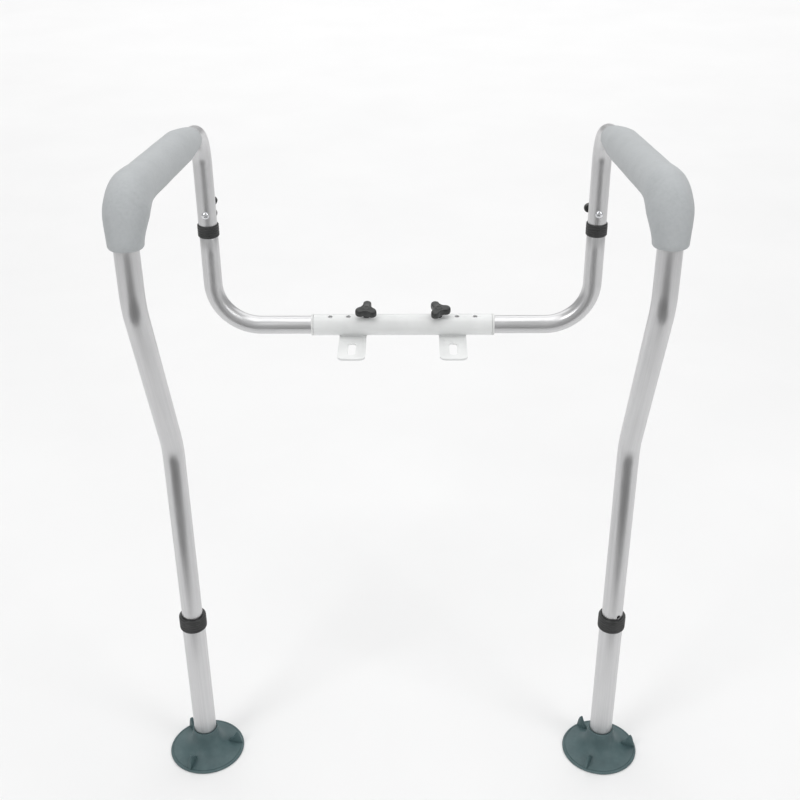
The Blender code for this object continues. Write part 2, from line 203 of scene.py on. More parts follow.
def moulded(name, dark, bright, rough, grain_scale, depth, coat=0.0):
    """Injection-moulded plastic with a fine spark-eroded texture."""
    n = Nodes(name)
    p = n.place((1, 1, 1))
    tex = n.grain(p, grain_scale, 3.0, 0.6)
    flow = n.grain(p, 70.0, 3.0, 0.5)
    tint = n.colours(flow, [(0.32, dark), (0.68, bright)])
    return n.set(Base_Color=tint, Roughness=n.span(tex, 0.3, 0.7, rough - 0.06, rough + 0.08),
                 Coat_Weight=coat, Coat_Roughness=0.25, Normal=n.bump(tex, 0.35, depth))


def foam(name):
    """Closed-cell foam with a moulded skin: mottled, matt, finely pitted."""
    n = Nodes(name)
    p = n.place((1, 1, 1))
    mottle = n.math("ADD", n.math("MULTIPLY", n.grain(p, 260.0, 5.0, 0.65), 0.6),
                    n.math("MULTIPLY", n.grain(p, 38.0, 4.0, 0.5), 0.4))
    tint = n.colours(mottle, [(0.32, (0.385, 0.402, 0.410)), (0.50, (0.420, 0.438, 0.447)),
                              (0.70, (0.450, 0.468, 0.476))])
    cells = n.add("ShaderNodeTexVoronoi", in_Scale=1150.0, in_Randomness=1.0)
    n.link(p, cells.inputs["Vector"])
    pits = n.span(cells.outputs["Distance"], 0.05, 0.45, 0.0, 1.0)
    skin = n.bump(pits, 0.30, 0.00018)
    return n.set(Base_Color=tint, Roughness=n.span(mottle, 0.3, 0.7, 0.72, 0.88), Sheen_Weight=0.12,
                 Sheen_Roughness=0.5, Specular_IOR_Level=0.35,
                 Normal=n.bump(n.grain(p, 330.0, 4.0, 0.6), 0.30, 0.00030, skin))


def rubber(name):
    """Dark teal-grey suction rubber with a soft bloom."""
    n = Nodes(name)
    p = n.place((1, 1, 1))
    bloom = n.grain(p, 48.0, 5.0, 0.6)
    tint = n.colours(bloom, [(0.30, (0.052, 0.092, 0.098)), (0.55, (0.070, 0.118, 0.124)),
                             (0.75, (0.094, 0.146, 0.152))])
    fine = n.grain(p, 900.0, 3.0, 0.6)
    return n.set(Base_Color=tint, Roughness=n.span(bloom, 0.3, 0.7, 0.40, 0.54),
                 Specular_IOR_Level=0.45, Normal=n.bump(fine, 0.30, 0.00005))


def plated(name, dark, bright, rough):
    """Bright plated steel with light handling marks."""
    n = Nodes(name)
    p = n.place((1, 1, 1))
    marks = n.grain(p, 420.0, 5.0, 0.7)
    tint = n.colours(marks, [(0.30, dark), (0.70, bright)])
    return n.set(Base_Color=tint, Metallic=1.0, Roughness=n.span(marks, 0.3, 0.7, rough, rough + 0.12),
                 Normal=n.bump(marks, 0.12, 0.00002))


MATS = {
    "white_coat": powder_coat("white_coat_look"),
    "white_plastic": moulded("white_plastic_look", (0.70, 0.71, 0.70), (0.78, 0.785, 0.775), 0.45, 900.0, 0.00003),
    "aluminium_bar": anodised("aluminium_bar_look", (0.57, 0.57, 0.575), (0.68, 0.68, 0.685), 0.34, 60.0),
    "aluminium_arm": anodised("aluminium_arm_look", (0.57, 0.57, 0.575), (0.68, 0.68, 0.685), 0.34, 60.0),
    "aluminium_leg": anodised("aluminium_leg_look", (0.58, 0.58, 0.585), (0.69, 0.69, 0.695), 0.36, 52.0),
    "grey_foam": foam("grey_foam_look"),
    "black_collar": moulded("black_collar_look", (0.016, 0.017, 0.017), (0.030, 0.031, 0.031), 0.44, 1100.0, 0.00004),
    "black_knob": moulded("black_knob_look", (0.010, 0.011, 0.011), (0.022, 0.024, 0.023), 0.34, 1300.0, 0.00003, 0.15),
    "bolt_steel": plated("bolt_steel_look", (0.62, 0.63, 0.65), (0.80, 0.81, 0.83), 0.10),
    "stud_steel": plated("stud_steel_look", (0.42, 0.43, 0.45), (0.60, 0.61, 0.63), 0.24),
    "washer_steel": plated("washer_steel_look", (0.42, 0.43, 0.44), (0.58, 0.58, 0.59), 0.30),
    "teal_rubber": rubber("teal_rubber_look"),
}


# ------------------------------------------------------------ shape functions
def mesh_object(name, verts, faces, slot, lane=None, sharp=38.0):
    me = bpy.data.meshes.new(name)
    me.from_pydata([tuple(v) for v in verts], [], faces)
    if lane is not None:
        at = me.attributes.new("lane", "FLOAT_VECTOR", "POINT")
        for i, v in enumerate(lane):
            at.data[i].vector = v
    bm = bmesh.new()
    bm.from_mesh(me)
    bmesh.ops.recalc_face_normals(bm, faces=bm.faces)
    bm.to_mesh(me)
    bm.free()
    me.shade_smooth()
    me.set_sharp_from_angle(angle=math.radians(sharp))
    if slot:
        me.materials.append(MATS[slot])
    ob = bpy.data.objects.new(name, me)
    bpy.context.scene.collection.objects.link(ob)
    return ob


def carve(obj, tools, operation, sharp=38.0):
    """Applies exact booleans with the tool objects, then removes the tools."""
    for t in tools:
        m = obj.modifiers.new(t.name, "BOOLEAN")
        m.operation, m.solver, m.object = operation, "EXACT", t
    bpy.context.view_layer.update()
    dg = bpy.context.evaluated_depsgraph_get()
    made = bpy.data.meshes.new_from_object(obj.evaluated_get(dg), depsgraph=dg)
    obj.modifiers.clear()
    mats = list(obj.data.materials)
    obj.data = made
    made.materials.clear()
    for m in mats:
        made.materials.append(m)
    for p in made.polygons:
        p.material_index = 0
    bm = bmesh.new()
    bm.from_mesh(made)
    bmesh.ops.remove_doubles(bm, verts=bm.verts, dist=2e-7)
    bmesh.ops.dissolve_degenerate(bm, dist=1e-7, edges=bm.edges)
    bm.to_mesh(made)
    bm.free()
    made.shade_smooth()
    made.set_sharp_from_angle(angle=math.radians(sharp))
    for t in tools:
        bpy.data.objects.remove(t, do_unlink=True)
    return obj


def bent_path(corners, radii, step=math.radians(3.0), straight=0.02):
    """Points and tangents of a line through corners, each corner rounded."""
    pts = [Vector(c) for c in corners]
    out = []

    def run(a, b, tan):
        n = max(1, int((b - a).length / straight))
        for k in range(n + 1):
            out.append((a.lerp(b, k / n), tan))

    at = pts[0]
    for i in range(1, len(pts) - 1):
        d0 = (pts[i] - pts[i - 1]).normalized()
        d1 = (pts[i + 1] - pts[i]).normalized()
        turn, r = d0.angle(d1), radii[i - 1]
        start = pts[i] - d0 * (r * math.tan(turn / 2))
        toward = (d1 - d0 * d0.dot(d1)).normalized()
        centre = start + toward * r
        run(at, start, d0)
        n = max(3, int(math.ceil(turn / step)))
        for k in range(1, n + 1):
            a = turn * k / n
            out.append((centre - toward * (r * math.cos(a)) + d0 * (r * math.sin(a)),
                        d0 * math.cos(a) + toward * math.sin(a)))
        at = out.pop()[0]
    run(at, pts[-1], (pts[-1] - pts[-2]).normalized())
    return out


def skin_tube(outer, inner, flat_normal, sides=48):
    """Tube wall from two lists of stations (pos, tangent, radius or function,
    sideways offset), joined at both ends."""
    flat = Vector(flat_normal).normalized()
    verts, lane, faces, rings = [], [], [], []
    for stations in (outer, list(reversed(inner))):
        run, last = 0.0, None
        for st in stations:
            pos, tan, rad = st[0], st[1], st[2]
            off = st[3] if len(st) > 3 else 0.0
            if last is not None:
                run += (pos - last).length
            last = pos
            side = flat.cross(tan).normalized()
            row = []
            for j in range(sides):
                a = 2 * math.pi * j / sides
                r = rad(a) if callable(rad) else rad
                row.append(len(verts))
                verts.append(pos + side * (off + r * math.cos(a)) + flat * (r * math.sin(a)))
                lane.append((math.cos(a), math.sin(a), run))
            rings.append(row)
    for k in range(len(rings)):
        a, b = rings[k], rings[(k + 1) % len(rings)]
        for j in range(sides):
            j2 = (j + 1) % sides
            faces.append((a[j], a[j2], b[j2], b[j]))
    return verts, faces, lane


def eased(path, radius, cut=0.0004):
    """Stations along a path with both end edges broken."""
    (p0, t0), (p1, t1) = path[0], path[-1]
    out = [(p0, t0, radius - cut), (p0 + t0 * cut, t0, radius)]
    out += [(p, t, radius) for p, t in path[1:-1]]
    out += [(p1 - t1 * cut, t1, radius), (p1, t1, radius - cut)]
    return out


def bore(path, radius, cut=0.0003):
    (p0, t0), (p1, t1) = path[0], path[-1]
    out = [(p0, t0, radius + cut), (p0 + t0 * cut, t0, radius)]
    out += [(p, t, radius) for p, t in path[1:-1]]
    out += [(p1 - t1 * cut, t1, radius), (p1, t1, radius + cut)]
    return out


def fillet(points, r, n=3):
    """Rounds the corners of a closed (radius, height) outline; corners on the
    axis are kept."""
    out = []
    m = len(points)
    for i, p in enumerate(points):
        if p[0] < 1e-9:
            out.append(p)
            continue
        a, b, c = Vector(points[i - 1]), Vector(p), Vector(points[(i + 1) % m])
        u, v = a - b, c - b
        if u.length < 1e-6 or v.length < 1e-6:
            out.append(p)
            continue
        ang = u.angle(v)
        if ang > math.radians(165):
            out.append(p)
            continue
        back = min(r / math.tan(ang / 2), 0.42 * u.length, 0.42 * v.length)
        s, e = b + u.normalized() * back, b + v.normalized() * back
        for k in range(n + 1):
            t = k / n
            q = s.lerp(b, t).lerp(b.lerp(e, t), t)
            out.append((q.x, q.y))
    return out


def turned(profile, point, axis, sides=64, turn=0.0):
    """Solid of revolution of a closed (radius, height) outline."""
    w = Vector(axis).normalized()
    helper = Vector((1, 0, 0)) if abs(w.x) < 0.9 else Vector((0, 1, 0))
    u = (helper - w * w.dot(helper)).normalized()
    v = w.cross(u)
    base = Vector(point)
    verts, lane, rows, faces = [], [], [], []
    for r, h in profile:
        if r < 1e-9:
            verts.append(base + w * h)
            lane.append((0, 0, h))
            rows.append([len(verts) - 1] * sides)
            continue
        row = []
        for j in range(sides):
            a = turn + 2 * math.pi * j / sides
            row.append(len(verts))
            verts.append(base + w * h + u * (r * math.cos(a)) + v * (r * math.sin(a)))
            lane.append((math.cos(a), math.sin(a), h))
        rows.append(row)
    n = len(rows)
    for k in range(n):
        a, b = rows[k], rows[(k + 1) % n]
        for j in range(sides):
            j2 = (j + 1) % sides
            quad = []
            for idx in (a[j], a[j2], b[j2], b[j]):
                if idx not in quad:
                    quad.append(idx)
            if len(quad) >= 3:
                faces.append(tuple(quad))
    return verts, faces, lane


def prism(outline, lo_h, hi_h, place, loops):
    """Closed solid from one outline; loops are (grow, height) rows from the
    bottom to the top and place maps (x, y, h) into space."""
    n = len(outline)
    norm = []
    for i in range(n):
        d = Vector(outline[(i + 1) % n]) - Vector(outline[i - 1])
        norm.append(Vector((d.y, -d.x)).normalized())
    verts, faces = [], []
    for grow, h in loops:
        for p, q in zip(outline, norm):
            verts.append(place(p[0] + q.x * grow, p[1] + q.y * grow, h))
    for k in range(len(loops) - 1):
        for i in range(n):
            j = (i + 1) % n
            faces.append((k * n + i, k * n + j, (k + 1) * n + j, (k + 1) * n + i))
    faces.append(tuple(reversed(range(n))))
    last = (len(loops) - 1) * n
    faces.append(tuple(range(last, last + n)))
    return verts, faces


def threaded(point, axis, h0, h1, core, crest, pitch, sides=28):
    """Rod with a helical thread; both ends are faded into plain cones."""
    w = Vector(axis).normalized()
    helper = Vector((1, 0, 0)) if abs(w.x) < 0.9 else Vector((0, 1, 0))
    u = (helper - w * w.dot(helper)).normalized()
    v = w.cross(u)
    rows = int((h1 - h0) / (pitch / 5))
    verts, lane, faces = [Vector(point) + w * h0], [(0, 0, 0)], []
    for k in range(rows + 1):
        h = h0 + (h1 - h0) * k / rows
        for j in range(sides):
            a = 2 * math.pi * j / sides
            ph = (h / pitch + j / sides) % 1.0
            r = core + (crest - core) * (1 - abs(2 * ph - 1))
            r = min(r, core - 0.0004 + min(h - h0, h1 - h) * 1.2)
            verts.append(Vector(point) + w * h + u * (r * math.cos(a)) + v * (r * math.sin(a)))
            lane.append((math.cos(a), math.sin(a), h))
    verts.append(Vector(point) + w * h1)
    lane.append((0, 0, 0))
    top = len(verts) - 1
    for j in range(sides):
        j2 = (j + 1) % sides
        faces.append((0, 1 + j2, 1 + j))
        faces.append((top, 1 + rows * sides + j, 1 + rows * sides + j2))
        for k in range(rows):
            a, b = 1 + k * sides, 1 + (k + 1) * sides
            faces.append((a + j, a + j2, b + j2, b + j))
    return verts, faces, lane


def knob(point, axis, turn, hub_r, hub_len, body, bore_r, blind=None):
    """Three-lobe hand knob: rounded lobes, a necked hub underneath and a
    raised centre boss."""
    w = Vector(axis).normalized()
    u = (Vector((1, 0, 0)) - w * w.dot(Vector((1, 0, 0)))).normalized()
    v = w.cross(u)
    base = Vector(point)
    outline = []
    for lobe in range(3):
        m = turn + lobe * 2 * math.pi / 3
        cx, cy = 0.0107 * math.cos(m), 0.0107 * math.sin(m)
        for k in range(17):
            a = m + math.radians(-98 + 196 * k / 16)
            outline.append((cx + 0.0058 * math.cos(a), cy + 0.0058 * math.sin(a)))
        for k in range(1, 8):
            a = m + math.radians(60 + (k - 4) * 7.2)
            r = 0.0083 + 0.0011 * ((k - 4) / 3) ** 2
            outline.append((r * math.cos(a), r * math.sin(a)))
    n = len(outline)
    ang = [math.atan2(y, x) for x, y in outline]

    def shape(f, h, circle=None):
        if circle is not None:
            return [(circle * math.cos(a), circle * math.sin(a), h) for a in ang]
        return [(x * f, y * f, h) for x, y in outline]

    t = hub_len + body
    rows = [shape(0, 0.0004, bore_r + 0.0002), shape(0, 0.0, bore_r + 0.0006), shape(0, 0.0, hub_r - 0.0005),
            shape(0, 0.0004, hub_r), shape(0, hub_len - 0.0006, hub_r), shape(0, hub_len, hub_r + 0.0007),
            shape(0.86, hub_len + 0.0001), shape(0.93, hub_len + 0.0005), shape(0.975, hub_len + 0.0013),
            shape(0.995, hub_len + 0.0024), shape(1.0, hub_len + body * 0.45), shape(0.992, t - 0.0026),
            shape(0.965, t - 0.0014), shape(0.92, t - 0.0006), shape(0.86, t - 0.0002),
            shape(0.70, t - 0.0002), shape(0, t - 0.0005, 0.0056), shape(0, t - 0.0002, 0.0052),
            shape(0, t, 0.0048)]
    if blind is None:
        rows += [shape(0, t, bore_r + 0.0004), shape(0, t - 0.0004, bore_r)]
    else:
        rows += [shape(0, t, 0.0030), shape(0, t - 0.0004, 0.0026), shape(0, t - 0.0004, 0.0006)]
    verts, faces = [], []
    for row in rows:
        verts += [base + u * x + v * y + w * h for x, y, h in row]
    for k in range(len(rows) - 1):
        for i in range(n):
            j = (i + 1) % n
            faces.append((k * n + i, k * n + j, (k + 1) * n + j, (k + 1) * n + i))
    last = (len(rows) - 1) * n
    if blind is None:
        for i in range(n):
            j = (i + 1) % n
            faces.append((last + i, last + j, j, i))
    else:
        faces.append(tuple(range(last, last + n)))
        deep = len(verts)
        verts += [base + u * x + v * y + w * h for x, y, h in shape(0, blind, bore_r)]
        for i in range(n):
            j = (i + 1) % n
            faces.append((i, j, deep + j, deep + i))
        faces.append(tuple(range(deep, deep + n)))
    return verts, faces


def ribbed(r_in, r_out, h0, h1, ribs, groove=0.0007):
    """Outline of a ring whose outside carries moulded ribs."""
    pts = [(r_in, h0), (r_out - 0.0010, h0), (r_out - 0.0002, h0 + 0.0010)]
    a, b = h0 + 0.0022, h1 - 0.0022
    pitch = (b - a) / ribs
    for k in range(ribs):
        c = a + pitch * (k + 0.5)
        pts += [(r_out, c - pitch * 0.30), (r_out - groove, c - pitch * 0.14),
                (r_out - groove, c + pitch * 0.14), (r_out, c + pitch * 0.30)]
    pts += [(r_out - 0.0002, h1 - 0.0010), (r_out - 0.0010, h1), (r_in, h1)]
    return pts


def done(obj, body, slot, *nodes):
    """Puts a finished piece on its body in place of the CAD nodes."""
    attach(obj, body)
    if nodes:
        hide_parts(*nodes)
    return obj


# ------------------------------------------------------------- centre bracket
axis_at = (0, POST_Y, SLEEVE_Z)
sleeve = mesh_object("bracket_sleeve", *turned(
    fillet([(SLEEVE_BORE_R, -SLEEVE_HALF), (SLEEVE_R, -SLEEVE_HALF),
            (SLEEVE_R, SLEEVE_HALF), (SLEEVE_BORE_R, SLEEVE_HALF)], 0.0005),
    axis_at, (1, 0, 0), 72, 0.013)[:2], "white_coat")

EAR_W, EAR_REACH, EAR_X = 0.038, 0.078, 0.070
EAR_TOP, EAR_BOTTOM = SLEEVE_Z - 0.0139, low("centre_bracket").z


def ear_outline(cx):
    x0, x1 = cx - EAR_W / 2, cx + EAR_W / 2
    y0, y1 = POST_Y - EAR_REACH, POST_Y + 0.009
    pts = []
    for (px, py), r, a0 in (((x1, y0), 0.009, -90), ((x1, y1), 0.0015, 0),
                            ((x0, y1), 0.0015, 90), ((x0, y0), 0.009, 180)):
        sx, sy = (1 if px > cx else -1), (1 if py > POST_Y - 0.03 else -1)
        for k in range(9):
            a = math.radians(a0 + 90 * k / 8)
            pts.append((px - sx * r + r * math.cos(a), py - sy * r + r * math.sin(a)))
    return pts


tools = []
for s, (sx, word) in SIDE.items():
    e = 0.0005
    tools.append(mesh_object("tool_ear_" + s, *prism(
        ear_outline(sx * EAR_X), 0, 0, lambda x, y, h: (x, y, h),
        [(-e, EAR_BOTTOM), (-e * 0.3, EAR_BOTTOM + e * 0.3), (0, EAR_BOTTOM + e), (0, EAR_TOP - e),
         (-e * 0.3, EAR_TOP - e * 0.3), (-e, EAR_TOP)]), None))
    # weld beads in front of and behind the sleeve, laid as overlapping drops
    for tag, dy, r0 in (("front", -0.0064, 0.0021), ("rear", 0.0062, 0.0018)):
        n = 80
        half = EAR_W / 2 - 0.0016
        st = []
        for k in range(n + 1):
            x = -half + 2 * half * k / n
            fade = min(1.0, 0.25 + min(k, n - k) / 5)
            r = r0 * fade * (1 + 0.10 * abs(math.sin(math.pi * x / 0.0021 + 0.4)))
            st.append((Vector((sx * EAR_X + x, POST_Y + dy, EAR_TOP + 0.0002)), Vector((1, 0, 0)), r))
        v, f = [], []
        for p, t, r in st:
            for j in range(14):
                a = 2 * math.pi * (j + 0.37) / 14
                v.append(p + Vector((0, r * math.cos(a), r * math.sin(a))))
        for k in range(n):
            for j in range(14):
                j2 = (j + 1) % 14
                f.append((k * 14 + j, k * 14 + j2, (k + 1) * 14 + j2, (k + 1) * 14 + j))
        f += [tuple(reversed(range(14))), tuple(range(n * 14, n * 14 + 14))]
        tools.append(mesh_object("tool_weld_%s_%s" % (tag, s), v, f, None))
carve(sleeve, tools, "UNION")

tools = []
for s, (sx, word) in SIDE.items():
    slot_pts = []
    for end in (1, -1):
        for k in range(13):
            a = -math.pi / 2 + math.pi * k / 12
            slot_pts.append((sx * EAR_X - end * 0.0055 * math.sin(a),
                             POST_Y - 0.048 + end * (0.0125 + 0.0055 * math.cos(a))))
    g = 0.0004
    tools.append(mesh_object("tool_slot_" + s, *prism(
        slot_pts, 0, 0, lambda x, y, h: (x, y, h),
        [(g, EAR_BOTTOM - 0.004), (g, EAR_BOTTOM - 0.0001), (0, EAR_BOTTOM + g), (0, EAR_TOP - g),
         (g, EAR_TOP + 0.0001), (g, EAR_TOP + 0.004)]), None))
    for k in range(3):
        at = Vector((sx * (HOLE_FIRST_X + k * 0.0254), POST_Y, SLEEVE_Z))
        tools.append(mesh_object("tool_hole_%s%d" % (s, k), *turned(
            [(0, 0.0080), (0.0030, 0.0080), (0.0030, 0.0145), (0.0034, 0.0150), (0.0034, 0.0220), (0, 0.0220)],
            at, HOLE_DIR, 28, 0.05)[:2], None))
carve(sleeve, tools, "DIFFERENCE")
done(sleeve, "bracket", "white_coat", "centre_bracket")

# --------------------------------------------------------- the two side rails
for s, (sx, word) in SIDE.items():
    x = sx * ARM_X
    arm, leg, bar = "arm_" + word, "leg_" + word, "side_bar_" + word

    # bushing on the sleeve's end
    inner = BUSHING_OUT_X - 0.0030
    v, f, lane = turned(
        fillet([(SLEEVE_BORE_R, 0), (SLEEVE_R + 0.0003, 0), (SLEEVE_R + 0.0003, 0.0030),
                (SLEEVE_BORE_R, 0.0030)], 0.0007, 4),
        (sx * inner, POST_Y, SLEEVE_Z), (sx, 0, 0), 72)
    bush = mesh_object("bushing_ring_" + s, v, f, "white_plastic")
    done(bush, "bracket", "white_plastic", "sleeve_bushing_" + s)

    # side bar with its reduced, slotted top end
    path = bent_path([(sx * BAR_INNER_X, POST_Y, SLEEVE_Z), (x, POST_Y, SLEEVE_Z),
                      (x, POST_Y, POST_END_Z - CLEAR)], [BAR_BEND_R])
    up = Vector((0, 0, 1))
    shoulder = POST_END_Z - CLEAR
    top = Vector((x, POST_Y, SPIGOT_TOP_Z))
    outer = eased(path, TUBE_R)[:-2]
    outer += [(Vector((x, POST_Y, shoulder - 0.0007)), up, TUBE_R),
              (Vector((x, POST_Y, shoulder - 0.0002)), up, TUBE_R - 0.0003),
              (Vector((x, POST_Y, shoulder)), up, TUBE_R - 0.0008),
              (Vector((x, POST_Y, shoulder)), up, SPIGOT_R + 0.0001),
              (Vector((x, POST_Y, shoulder + 0.0004)), up, SPIGOT_R)]
    outer += [(Vector((x, POST_Y, shoulder + 0.02 + k * 0.02)), up, SPIGOT_R) for k in range(3)]
    outer += [(top - up * 0.0005, up, SPIGOT_R), (top, up, SPIGOT_R - 0.0005)]
    hollow = bore(path, BAR_BORE_R)[:-2]
    hollow += [(Vector((x, POST_Y, shoulder - 0.0030)), up, BAR_BORE_R),
               (Vector((x, POST_Y, shoulder)), up, SPIGOT_BORE_R),
               (top - up * 0.0003, up, SPIGOT_BORE_R), (top, up, SPIGOT_BORE_R + 0.0003)]
    v, f, lane = skin_tube(outer, hollow, (0, 1, 0))
    side_bar = mesh_object("side_bar_tube_" + s, v, f, "aluminium_bar", lane)
    slot_pts = []
    for end in (1, -1):
        for k in range(11):
            a = -math.pi / 2 + math.pi * k / 10
            slot_pts.append((-end * 0.0034 * math.sin(a), 0.0254 + end * (0.0254 + 0.0034 * math.cos(a))))
    cut = mesh_object("tool_bar_slot_" + s, *prism(
        slot_pts, 0, 0, lambda a, b, h: (x + a, POST_Y + h, BOLT_Z + b), [(0, -0.016), (0, 0.016)]), None)
    carve(side_bar, [cut], "DIFFERENCE")
    done(side_bar, bar, "aluminium_bar", "side_bar_" + s)

    # arm tube
    path = bent_path([(x, LEG_Y, ARM_END_Z), (x, LEG_Y, KINK_LOW_Z), (x, FRONT_Y, KINK_HIGH_Z),
                      (x, FRONT_Y, FRONT_CORNER_Z), (x, POST_Y, REAR_CORNER_Z), (x, POST_Y, POST_END_Z)],
                     [KINK_R, KINK_R, FRONT_BEND_R, REAR_BEND_R])
    v, f, lane = skin_tube(eased(path, TUBE_R), bore(path, ARM_BORE_R), (1, 0, 0))
    tube = mesh_object("arm_rail_" + s, v, f, "aluminium_arm", lane)
    cuts = [mesh_object("tool_bolt_hole_" + s, *turned(
        [(0, -0.02), (0.0034, -0.02), (0.0034, 0.02), (0, 0.02)], (x, POST_Y, BOLT_Z), (0, 1, 0), 28, 0.05)[:2],
        None)]
    if s == "r":
        t = math.radians(28.5)
        cuts.append(mesh_object("tool_index_hole", *turned(
            [(0, 0.006), (0.0024, 0.006), (0.0024, 0.0124), (0.0028, 0.0128), (0.0028, 0.02), (0, 0.02)],
            (x, LEG_Y, INDEX_HOLE_Z), (math.sin(t), -math.cos(t), 0), 28, 0.05)[:2], None))
    carve(tube, cuts, "DIFFERENCE")
    done(tube, arm, "aluminium_arm", "arm_tube_" + s)

    # foam pad: tapered towards its lower end, fullest round the front bend and
    # thinned down to the tube at the rear, with rolled ends
    fine = bent_path([(x, FRONT_Y, KINK_HIGH_Z + 0.03), (x, FRONT_Y, FRONT_CORNER_Z),
                      (x, POST_Y, REAR_CORNER_Z), (x, POST_Y, POST_END_Z)],
                     [FRONT_BEND_R, REAR_BEND_R], straight=0.004)
    fine = [p for p in fine if p[1].z > -0.2 and p[0].z > FRONT_CORNER_Z - 0.0475 or abs(p[1].z) < 0.2]
    fine = [p for p in fine if p[0].y < high("arm_pad_r").y - 0.0240]
    length = [0.0]
    for a, b in zip(fine[:-1], fine[1:]):
        length.append(length[-1] + (b[0] - a[0]).length)
    total = length[-1]

    def ease(t):
        t = max(0.0, min(1.0, t))
        return t * t * (3 - 2 * t)

    def pad_skin(l):
        """Outer radius and sideways shift of the pad at a length along it."""
        r = 0.0178 + 0.0050 * ease(l / 0.040) - 0.0020 * ease((l - 0.050) / 0.070)
        off = 0.0006 + 0.0024 * ease((l - 0.040) / 0.050)
        thin = 1 - min(1.0, (total - l) / 0.085)
        thin = thin * thin * 0.35 + thin * 0.65
        return r + (0.0146 - r) * thin, off * (1 - thin)

    def roll(d, r, cut):
        """Radius near an end whose edge is rolled over."""
        if d >= cut:
            return r
        return r - cut * (1 - math.sqrt(max(0.0, 1 - (1 - d / cut) ** 2)))

    marks = sorted(set([0.0, 0.0003, 0.0010, 0.0020, 0.0032, 0.0045] + [l for l in length if 0.0055 < l < total - 0.003]
                       + [total - 0.0016, total - 0.0009, total - 0.0004, total]))

    def along(l):
        for k in range(len(length) - 1):
            if l <= length[k + 1] + 1e-9:
                f = (l - length[k]) / (length[k + 1] - length[k])
                return fine[k][0].lerp(fine[k + 1][0], f), fine[k][1].lerp(fine[k + 1][1], f).normalized()
        return fine[-1]

    stations = []
    seed = Vector((sx * 3.1, 1.7, 0.4))
    for l in marks:
        p, t = along(l)
        r, off = pad_skin(l)
        r = roll(l, r, 0.0040)
        r = roll(total - l, r, 0.0013)
        web = 0.0030 * math.exp(-((l - 0.048) / 0.022) ** 2)

        def radius(a, p=p, r=r, web=web):
            q = (p + Vector((math.sin(a), 0, math.cos(a))) * r) * 38.0 + seed
            small = (p + Vector((math.sin(a), 0, math.cos(a))) * r) * 160.0 + seed
            return (r + web * max(0.0, -math.cos(a)) ** 2 + 0.00018 * noise.noise(q)
                    + 0.00006 * noise.noise(small))

        stations.append((p, t, radius, off))
    hollow = [(p, t, TUBE_R + CLEAR) for p, t in (along(l) for l in marks)]
    v, f, lane = skin_tube(stations, hollow, (1, 0, 0), 64)
    pad = mesh_object("foam_pad_" + s, v, f, "grey_foam", lane, 50.0)
    done(pad, arm, "grey_foam", "arm_pad_" + s)

    # collar where the post meets the side bar
    v, f, lane = turned(fillet(ribbed(TUBE_R + CLEAR, 0.0145, -0.0020, 0.0155, 4), 0.0003, 2),
                        (x, POST_Y, POST_END_Z), (0, 0, 1), 72)
    collar = mesh_object("post_collar_ring_" + s, v, f, "black_collar", lane)
    done(collar, arm, "black_collar", "post_collar_" + s)

    # domed height bolt
    dome = [(0, -0.0166)]
    for k in range(1, 10):
        a = math.pi / 2 * k / 9
        dome.append((0.0052 * math.sin(a), -0.0138 - 0.0028 * math.cos(a)))
    dome += [(0.0052, -TUBE_R - CLEAR - 0.0002), (0.0050, -TUBE_R - CLEAR), (0.0030, -TUBE_R - CLEAR)]
    v, f, lane = turned(dome + [(0.0030, 0.0256), (0.0026, 0.0260), (0, 0.0260)],
                        (x, POST_Y, BOLT_Z), (0, 1, 0), 48)
    bolt = mesh_object("height_bolt_dome_" + s, v, f, "bolt_steel", lane)
    done(bolt, arm, "bolt_steel", "height_bolt_" + s)

    v, f = knob((x, POST_Y + TUBE_R + CLEAR, BOLT_Z), (0, 1, 0), math.radians(-175 if s == "l" else 160),
                0.0062, 0.0045, 0.0090, 0.0033)
    hk = mesh_object("height_knob_grip_" + s, v, f, "black_knob", None, 42.0)
    done(hk, "height_knob_" + word, "black_knob", "height_knob_" + s)

    # width knob and its stud
    at = Vector((sx * HOLE_FIRST_X, POST_Y, SLEEVE_Z))
    v, f, lane = threaded(at, HOLE_DIR, TUBE_R + CLEAR, 0.0266, 0.0020, 0.00245, 0.0008)
    stud = mesh_object("width_stud_thread_" + s, v, f, "stud_steel", lane, 60.0)
    done(stud, "width_knob_" + word, "stud_steel", "width_stud_" + s)
    v, f = knob(at + HOLE_DIR * (SLEEVE_R + CLEAR + 0.0002), HOLE_DIR, math.radians(84 if s == "l" else 0),
                0.0048, 0.0060, 0.0100, 0.0028, 0.0118)
    wk = mesh_object("width_knob_grip_" + s, v, f, "black_knob", None, 42.0)
    done(wk, "width_knob_" + word, "black_knob", "width_knob_" + s)

    # lower leg
    v, f, lane = turned(fillet([(LEG_BORE_R, LEG_BOTTOM_Z), (LEG_R, LEG_BOTTOM_Z), (LEG_R, LEG_TOP_Z),
                                (LEG_BORE_R, LEG_TOP_Z)], 0.0004, 3), (x, LEG_Y, 0), (0, 0, 1), 64)
    lower = mesh_object("leg_sleeve_" + s, v, f, "aluminium_leg", lane)
    done(lower, leg, "aluminium_leg", "leg_tube_" + s)

    pts = ribbed(LEG_R + CLEAR, 0.0168, COLLAR_Z0, COLLAR_Z1, 4)[:-1]
    pts += [(LEG_BORE_R, COLLAR_Z1), (LEG_BORE_R, LEG_TOP_Z + CLEAR), (LEG_R + CLEAR, LEG_TOP_Z + CLEAR)]
    v, f, lane = turned(fillet(pts, 0.0003, 2), (x, LEG_Y, 0), (0, 0, 1), 72)
    collar = mesh_object("leg_collar_ring_" + s, v, f, "black_collar", lane)
    done(collar, leg, "black_collar", "leg_collar_" + s)

